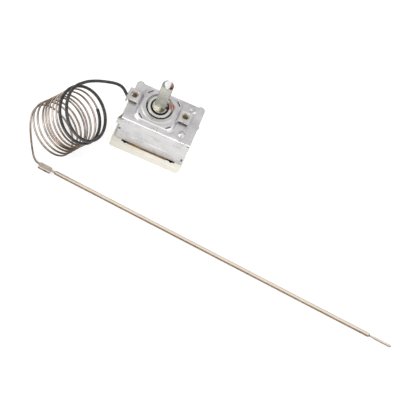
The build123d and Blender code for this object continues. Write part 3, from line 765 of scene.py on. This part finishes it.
# Guide block: dark brown phenolic, moulded with its tower, and held between the aprons. It has a
# faint mottle and a dull skin.
mottle_size = 1.67
phenolic, tree, shader = finish_of("moulded_phenolic", "#2b211b", 0.5, 0.0)
place = add(tree, "ShaderNodeTexCoord")
mottle = add(
    tree, "ShaderNodeTexNoise",
    Vector=place.outputs["Object"], Scale=1 / (mottle_size * MM), Detail=4.0,
)
shades = add(
    tree, "ShaderNodeValToRGB", stops=((0.4, "#201814"), (0.68, "#3b2e26")),
    Fac=mottle.outputs["Fac"],
)
feed(tree, shader, Base_Color=shades.outputs["Color"])
set_material(phenolic, "guide_block")

# Card: brown insulating board, 0.8 mm, punched out and laid over the switch. Its fibres run along
# its length and are drawn coarser than real, so that they show.
fibre_size = 0.625
fibre_stretch = (0.15, 1.0, 1.0)
board, tree, shader = finish_of("brown_insulating_board", "#8a6238", 0.7, 0.0)
place = add(tree, "ShaderNodeTexCoord")
laid = add(tree, "ShaderNodeMapping", Vector=place.outputs["Object"], Scale=fibre_stretch)
fibres = add(
    tree, "ShaderNodeTexNoise",
    Vector=laid.outputs["Vector"], Scale=1 / (fibre_size * MM), Detail=4.0,
)
shades = add(
    tree, "ShaderNodeValToRGB", stops=((0.35, "#6b5230"), (0.68, "#a8874f")),
    Fac=fibres.outputs["Fac"],
)
feed(tree, shader, Base_Color=shades.outputs["Color"])
set_material(board, "insulating_card")

# Spindle: a zinc die casting, machined where it turns, with a flat for the knob and a slot in its
# tip. It has gone greenish grey, with fine turning marks round it.
casting_cloud_size = 3.13
tool_mark_size = 0.556
tool_mark_stretch = (0.1, 0.1, 1.0)
tool_mark_depth = 0.06
casting, tree, shader = finish_of("die_cast_zinc", "#b9b9ad", 0.34, 0.4)
place = add(tree, "ShaderNodeTexCoord")
clouds = add(
    tree, "ShaderNodeTexNoise",
    Vector=place.outputs["Object"], Scale=1 / (casting_cloud_size * MM), Detail=4.0,
)
shades = add(
    tree, "ShaderNodeValToRGB", stops=((0.35, "#a3a399"), (0.68, "#bebeb3")),
    Fac=clouds.outputs["Fac"],
)
# the round foot is painted light on its left and painted shade, olive, on its right, and the tip's
# right prong has red paint
spindle_radius = 3.0
foot_top = 31.35
tip_foot = 52.45
axes = add(tree, "ShaderNodeSeparateXYZ", Vector=place.outputs["Object"])
across = add(
    tree, "ShaderNodeMapRange",
    Value=axes.outputs["X"], From_Min=-spindle_radius * MM, From_Max=spindle_radius * MM,
)
# painted light on the foot's left, painted shade on its right
foot_light_and_shade = add(
    tree, "ShaderNodeValToRGB", stops=((0.48, "#fff9e8"), (0.72, "#6b6440")),
    Fac=across.outputs["Result"],
)
# across the tip: painted shade on the left prong, a painted highlight in the middle, red paint on
# the right prong
tip_light_shade_and_paint = add(
    tree, "ShaderNodeValToRGB",
    stops=(
        (0.0, "#8b8b86"), (0.36, "#8b8b86"), (0.4, "#ffffff"),
        (0.6, "#ffffff"), (0.64, "#94736a"), (1.0, "#7d5552"),
    ),
    Fac=across.outputs["Result"],
)
at_foot = add(
    tree, "ShaderNodeMath", {"operation": "LESS_THAN"}, _0=axes.outputs["Z"], _1=foot_top * MM
)
at_tip = add(
    tree, "ShaderNodeMath", {"operation": "GREATER_THAN"}, _0=axes.outputs["Z"], _1=tip_foot * MM
)
footed = add(
    tree, "ShaderNodeMix", {"data_type": "RGBA"},
    Factor=at_foot.outputs[0], A=shades.outputs["Color"], B=foot_light_and_shade.outputs["Color"],
)
tipped = add(
    tree, "ShaderNodeMix", {"data_type": "RGBA"},
    Factor=at_tip.outputs[0], A=footed.outputs["Result"], B=tip_light_shade_and_paint.outputs["Color"],
)
# the tip's end face and the slot carry a painted highlight, plain white, with the paint on the
# right prong's face
tip_face = 53.72
slot_half = 0.72
slot_floor = 52.25
paint_from = 0.8
paint_to = 1.4
right_face = add(
    tree, "ShaderNodeMapRange",
    Value=axes.outputs["X"], From_Min=paint_from * MM, From_Max=paint_to * MM,
)
end_highlight_and_paint = add(
    tree, "ShaderNodeMix", {"data_type": "RGBA"},
    Factor=right_face.outputs["Result"], A="#ffffff", B="#a87b74",
)
at_face = add(
    tree, "ShaderNodeMath", {"operation": "GREATER_THAN"}, _0=axes.outputs["Z"], _1=tip_face * MM
)
beside = add(tree, "ShaderNodeMath", {"operation": "ABSOLUTE"}, _0=axes.outputs["X"])
within = add(
    tree, "ShaderNodeMath", {"operation": "LESS_THAN"}, _0=beside.outputs[0], _1=slot_half * MM
)
over = add(
    tree, "ShaderNodeMath", {"operation": "GREATER_THAN"}, _0=axes.outputs["Z"], _1=slot_floor * MM
)
in_slot = add(
    tree, "ShaderNodeMath", {"operation": "MULTIPLY"}, _0=within.outputs[0], _1=over.outputs[0]
)
# painted highlight: the end face and the slot go white
white_end_and_slot = add(
    tree, "ShaderNodeMath", {"operation": "MAXIMUM"}, _0=at_face.outputs[0], _1=in_slot.outputs[0]
)
end_highlighted = add(
    tree, "ShaderNodeMix", {"data_type": "RGBA"},
    Factor=white_end_and_slot.outputs[0], A=tipped.outputs["Result"], B=end_highlight_and_paint.outputs["Result"],
)
# and a dark spot on the right prong's chamfer: a painted dark reflection
spot_place = (2.0, -1.1, 53.3)
spot_edge = 0.9
spot_core = 0.5
spot = add(
    tree, "ShaderNodeVectorMath", {"operation": "DISTANCE"},
    _0=place.outputs["Object"], _1=[value * MM for value in spot_place],
)
spotted = add(
    tree, "ShaderNodeMapRange",
    Value=spot.outputs["Value"], From_Min=spot_edge * MM, From_Max=spot_core * MM,
)
marked = add(
    tree, "ShaderNodeMix", {"data_type": "RGBA"},
    Factor=spotted.outputs["Result"], A=end_highlighted.outputs["Result"], B="#2b211c",
)
tooled = add(tree, "ShaderNodeMapping", Vector=place.outputs["Object"], Scale=tool_mark_stretch)
marks = add(
    tree, "ShaderNodeTexNoise",
    Vector=tooled.outputs["Vector"], Scale=1 / (tool_mark_size * MM), Detail=3.0,
)
turned = add(
    tree, "ShaderNodeBump",
    Strength=0.25, Distance=tool_mark_depth * MM, Height=marks.outputs["Fac"],
)
feed(tree, shader, Base_Color=marked.outputs["Result"], Normal=turned.outputs["Normal"])
set_material(casting, "spindle")

# Bush and washer: a flanged zinc casting staked under the pad, with its face machined bright, and
# the spring washer in its recess. The groove beside the washer and the crevice round the rim are
# painted near black as painted shade, and a dab of red locking paint is left beside the washer.
spread_size = 1.43
machined, tree, shader = finish_of("machined_zinc", "#e4e3dd", 0.28, 1.0)
place = add(tree, "ShaderNodeTexCoord")
spread = add(
    tree, "ShaderNodeTexNoise",
    Vector=place.outputs["Object"], Scale=1 / (spread_size * MM), Detail=3.0,
)
# painted shade in the crevice round the rim, fading out towards the back
groove_outer = 6.3
groove_soft = 0.12
rim_shade_top = 28.75
shade_full_from = -0.5
shade_faint_to = 2.0
shade_back_rest = 0.15
level = add(
    tree, "ShaderNodeMapping", Vector=place.outputs["Object"], Scale=(1.0, 1.0, 0.0)
)
radius = add(
    tree, "ShaderNodeVectorMath", {"operation": "LENGTH"}, _0=level.outputs["Vector"]
)
rim = add(
    tree, "ShaderNodeMapRange",
    Value=radius.outputs["Value"], From_Min=(groove_outer - groove_soft) * MM,
    From_Max=(groove_outer - groove_soft / 2) * MM,
)
axes = add(tree, "ShaderNodeSeparateXYZ", Vector=place.outputs["Object"])
low = add(
    tree, "ShaderNodeMapRange",
    Value=axes.outputs["Z"], From_Min=rim_shade_top * MM,
    From_Max=(rim_shade_top - groove_soft) * MM,
)
# the painted shade is full at the front and faint at the back
shade_toward_front = add(
    tree, "ShaderNodeMapRange",
    Value=axes.outputs["Y"], From_Min=shade_full_from * MM, From_Max=shade_faint_to * MM,
    To_Min=1.0, To_Max=shade_back_rest,
)
rim_shade = rim.outputs["Result"]
for mask in (low, shade_toward_front):
    both = add(
        tree, "ShaderNodeMath", {"operation": "MULTIPLY"}, _0=rim_shade, _1=mask.outputs["Result"]
    )
    rim_shade = both.outputs[0]
# painted shade in the groove outside the washer, pulled a little to the front, and a darker patch
# on its right
groove_inner = 4.75
shade_pull = 0.35
washer_edge = 3.9
dark_patch_place = (3.9, 0.6, 0.0)
dark_patch_radius = 1.1
dark_patch_core = 0.8
pulled = add(
    tree, "ShaderNodeMapping",
    Vector=place.outputs["Object"], Location=(0, shade_pull * MM, 0), Scale=(1.0, 1.0, 0.0),
)
reach = add(
    tree, "ShaderNodeVectorMath", {"operation": "LENGTH"}, _0=pulled.outputs["Vector"]
)
sunk = add(
    tree, "ShaderNodeMapRange",
    Value=reach.outputs["Value"], From_Min=(groove_inner + groove_soft) * MM,
    From_Max=groove_inner * MM,
)
beside = add(
    tree, "ShaderNodeMath", {"operation": "GREATER_THAN"},
    _0=radius.outputs["Value"], _1=washer_edge * MM,
)
sunk = add(
    tree, "ShaderNodeMath", {"operation": "MULTIPLY"}, _0=sunk.outputs["Result"],
    _1=beside.outputs[0],
)
dark_patch = add(
    tree, "ShaderNodeVectorMath", {"operation": "DISTANCE"},
    _0=level.outputs["Vector"], _1=[value * MM for value in dark_patch_place],
)
dark_patch_mask = add(
    tree, "ShaderNodeMapRange",
    Value=dark_patch.outputs["Value"], From_Min=dark_patch_radius * MM, From_Max=dark_patch_core * dark_patch_radius * MM,
)
groove_shade = rim_shade
for mask in (sunk.outputs[0], dark_patch_mask.outputs["Result"]):
    either = add(tree, "ShaderNodeMath", {"operation": "MAXIMUM"}, _0=groove_shade, _1=mask)
    groove_shade = either.outputs[0]
# the paint: an oval with a ragged edge
paint_place = (5.0, 2.7, 29.7)
paint_turn = np.radians(48)
paint_stretch = 2
paint_edge = 2.1
paint_core = 1.4
paint_ragged = 1.2
offset = add(
    tree, "ShaderNodeVectorMath", {"operation": "SUBTRACT"},
    _0=place.outputs["Object"], _1=[value * MM for value in paint_place],
)
turned = add(
    tree, "ShaderNodeMapping", Vector=offset.outputs["Vector"], Rotation=(0, 0, paint_turn)
)
narrowed = add(
    tree, "ShaderNodeMapping", Vector=turned.outputs["Vector"], Scale=(1 / paint_stretch, 1.0, 1.0)
)
far = add(
    tree, "ShaderNodeVectorMath", {"operation": "LENGTH"}, _0=narrowed.outputs["Vector"]
)
ragged = add(
    tree, "ShaderNodeMath", {"operation": "MULTIPLY_ADD"},
    _0=spread.outputs["Fac"], _1=paint_ragged * MM, _2=far.outputs["Value"],
)
painted = add(
    tree, "ShaderNodeMapRange",
    Value=ragged.outputs[0], From_Min=paint_edge * MM, From_Max=paint_core * MM,
)
bare_or_paint = add(
    tree, "ShaderNodeMix", {"data_type": "RGBA"},
    Factor=painted.outputs["Result"], A="#cfcdc8", B="#b07a68",
)
# painted shade: near black in the groove, the crevice and the darker patch
coloured = add(
    tree, "ShaderNodeMix", {"data_type": "RGBA"},
    Factor=groove_shade, A=bare_or_paint.outputs["Result"], B="#1d1a17",
)
covered = add(
    tree, "ShaderNodeMath", {"operation": "MAXIMUM"}, _0=groove_shade, _1=painted.outputs["Result"]
)
metal = add(
    tree, "ShaderNodeMapRange", Value=covered.outputs[0], To_Min=1.0, To_Max=0.1
)
fresh = add(
    tree, "ShaderNodeMapRange",
    Value=spread.outputs["Fac"], From_Min=0.3, From_Max=0.7, To_Min=0.2, To_Max=0.36,
)
feed(
    tree, shader, Base_Color=coloured.outputs["Result"], Metallic=metal.outputs["Result"],
    Roughness=fresh.outputs["Result"],
)
set_material(machined, "spindle_bush", "retaining_washer")

# Diaphragm, nut and switch: pressed stainless discs and a spring blade, a turned brass nut and
# grub screw, nickel plated brass terminals, and silver contacts. Each has its metal's own colour,
# and a thin film from handling makes its shine uneven.
inner_metals = (
    ("rolled_stainless", "#bdbab5", 3.33, 4.0, (0.24, 0.4), ("diaphragm_capsule", "switch_blade")),
    ("turned_brass", "#b89a5a", 2.5, 4.0, (0.28, 0.44), ("adjusting_nut", "calibration_screw")),
    ("nickel_plated_brass", "#c9c4b4", 3.85, 4.0, (0.22, 0.4), ("left_terminal", "right_terminal")),
    ("silver_contact", "#dcdad4", 1.11, 2.0, (0.18, 0.35), ("moving_contact", "fixed_contact")),
)
for name, colour, film_size, detail, (smoothest, roughest), node_names in inner_metals:
    metal, tree, shader = finish_of(name, colour, roughest, 1.0)
    place = add(tree, "ShaderNodeTexCoord")
    film = add(
        tree, "ShaderNodeTexNoise",
        Vector=place.outputs["Object"], Scale=1 / (film_size * MM), Detail=detail,
    )
    sheen = add(
        tree, "ShaderNodeMapRange",
        Value=film.outputs["Fac"], From_Min=0.3, From_Max=0.7, To_Min=smoothest, To_Max=roughest,
    )
    feed(tree, shader, Roughness=sheen.outputs["Result"])
    set_material(metal, *node_names)


# Studio: a white sweep of paper under the part, and a white sky seen by the camera and by metal.
# Two soft boxes stand at the front left and front right, because one above or behind would be
# mirrored in the plate, and a low panel in front lights the apron and the bend above it.
def seen_straight(tree):
    """1 on a ray from the camera, a mirror or glass, and 0 on any other: the largest of three."""
    rays = add(tree, "ShaderNodeLightPath")
    found = rays.outputs["Is Camera Ray"]
    for other in ("Is Glossy Ray", "Is Transmission Ray"):
        either = add(
            tree, "ShaderNodeMath", {"operation": "MAXIMUM"}, _0=found, _1=rays.outputs[other]
        )
        found = either.outputs[0]
    return found


floor_half = 3.0
paper_glow = 0.5
floor_mesh = bpy.data.meshes.new("paper_floor")
floor_mesh.from_pydata([
    (-floor_half, -floor_half, 0),
    (floor_half, -floor_half, 0),
    (floor_half, floor_half, 0),
    (-floor_half, floor_half, 0),
], [], [(0, 1, 2, 3)])
floor = bpy.data.objects.new("paper_floor", floor_mesh)
bpy.context.scene.collection.objects.link(floor)
paper, tree, shader = finish_of("white_paper", "#e2e2e2", 0.9, 0.0)
lift = add(
    tree, "ShaderNodeMath", {"operation": "MULTIPLY"}, _0=seen_straight(tree), _1=paper_glow
)
feed(tree, shader, Emission_Color="#ffffff", Emission_Strength=lift.outputs[0])
floor_mesh.materials.append(paper)
floor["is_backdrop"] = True

sky_seen = 1.0
sky_on_part = 0.75
world = bpy.data.worlds.new("studio")
bpy.context.scene.world = world
world.use_nodes = True
tree = world.node_tree
direction = add(tree, "ShaderNodeTexCoord")
height = add(tree, "ShaderNodeSeparateXYZ", Vector=direction.outputs["Generated"])
dome = add(
    tree, "ShaderNodeValToRGB", stops=((0.0, "#d6d6d6"), (0.95, "#ffffff")),
    Fac=height.outputs["Z"],
)
strength = add(
    tree, "ShaderNodeMapRange", Value=seen_straight(tree), To_Min=sky_on_part, To_Max=sky_seen
)
feed(
    tree, tree.nodes["Background"], Color=dome.outputs["Color"],
    Strength=strength.outputs["Result"],
)

lamp_target = np.array([0.0, -0.02, 0.02])


def add_lamp(name, stand, size, power):
    """A rectangular lamp of this width and height at its stand, its back turned to lamp_target.

    A lamp shines down its own -Z, so its Z runs from the target to the stand, its X is level and
    its Y is square to both.
    """
    data = bpy.data.lights.new(name, "AREA")
    data.shape = "RECTANGLE"
    data.size, data.size_y = size
    data.energy = power
    lamp = bpy.data.objects.new(name, data)
    ahead = lamp_target - stand
    ahead /= np.linalg.norm(ahead)
    level_side = np.cross(ahead, [0.0, 0.0, 1.0])
    level_side /= np.linalg.norm(level_side)
    above = np.cross(level_side, ahead)
    columns = np.column_stack([level_side, above, -ahead, stand])
    lamp.matrix_world = Matrix(np.vstack([columns, [0, 0, 0, 1]]).tolist())
    bpy.context.scene.collection.objects.link(lamp)


add_lamp("soft_box_left", (-0.85, -0.35, 0.85), (0.9, 0.9), 5.0)
add_lamp("soft_box_right", (0.9, -0.3, 0.9), (0.9, 0.9), 2.0)
add_lamp("panel_front", (0.1, -1.2, 0.12), (1.4, 0.12), 6.5)

view_settings = bpy.context.scene.view_settings
view_settings.view_transform = "Standard"

low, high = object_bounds()
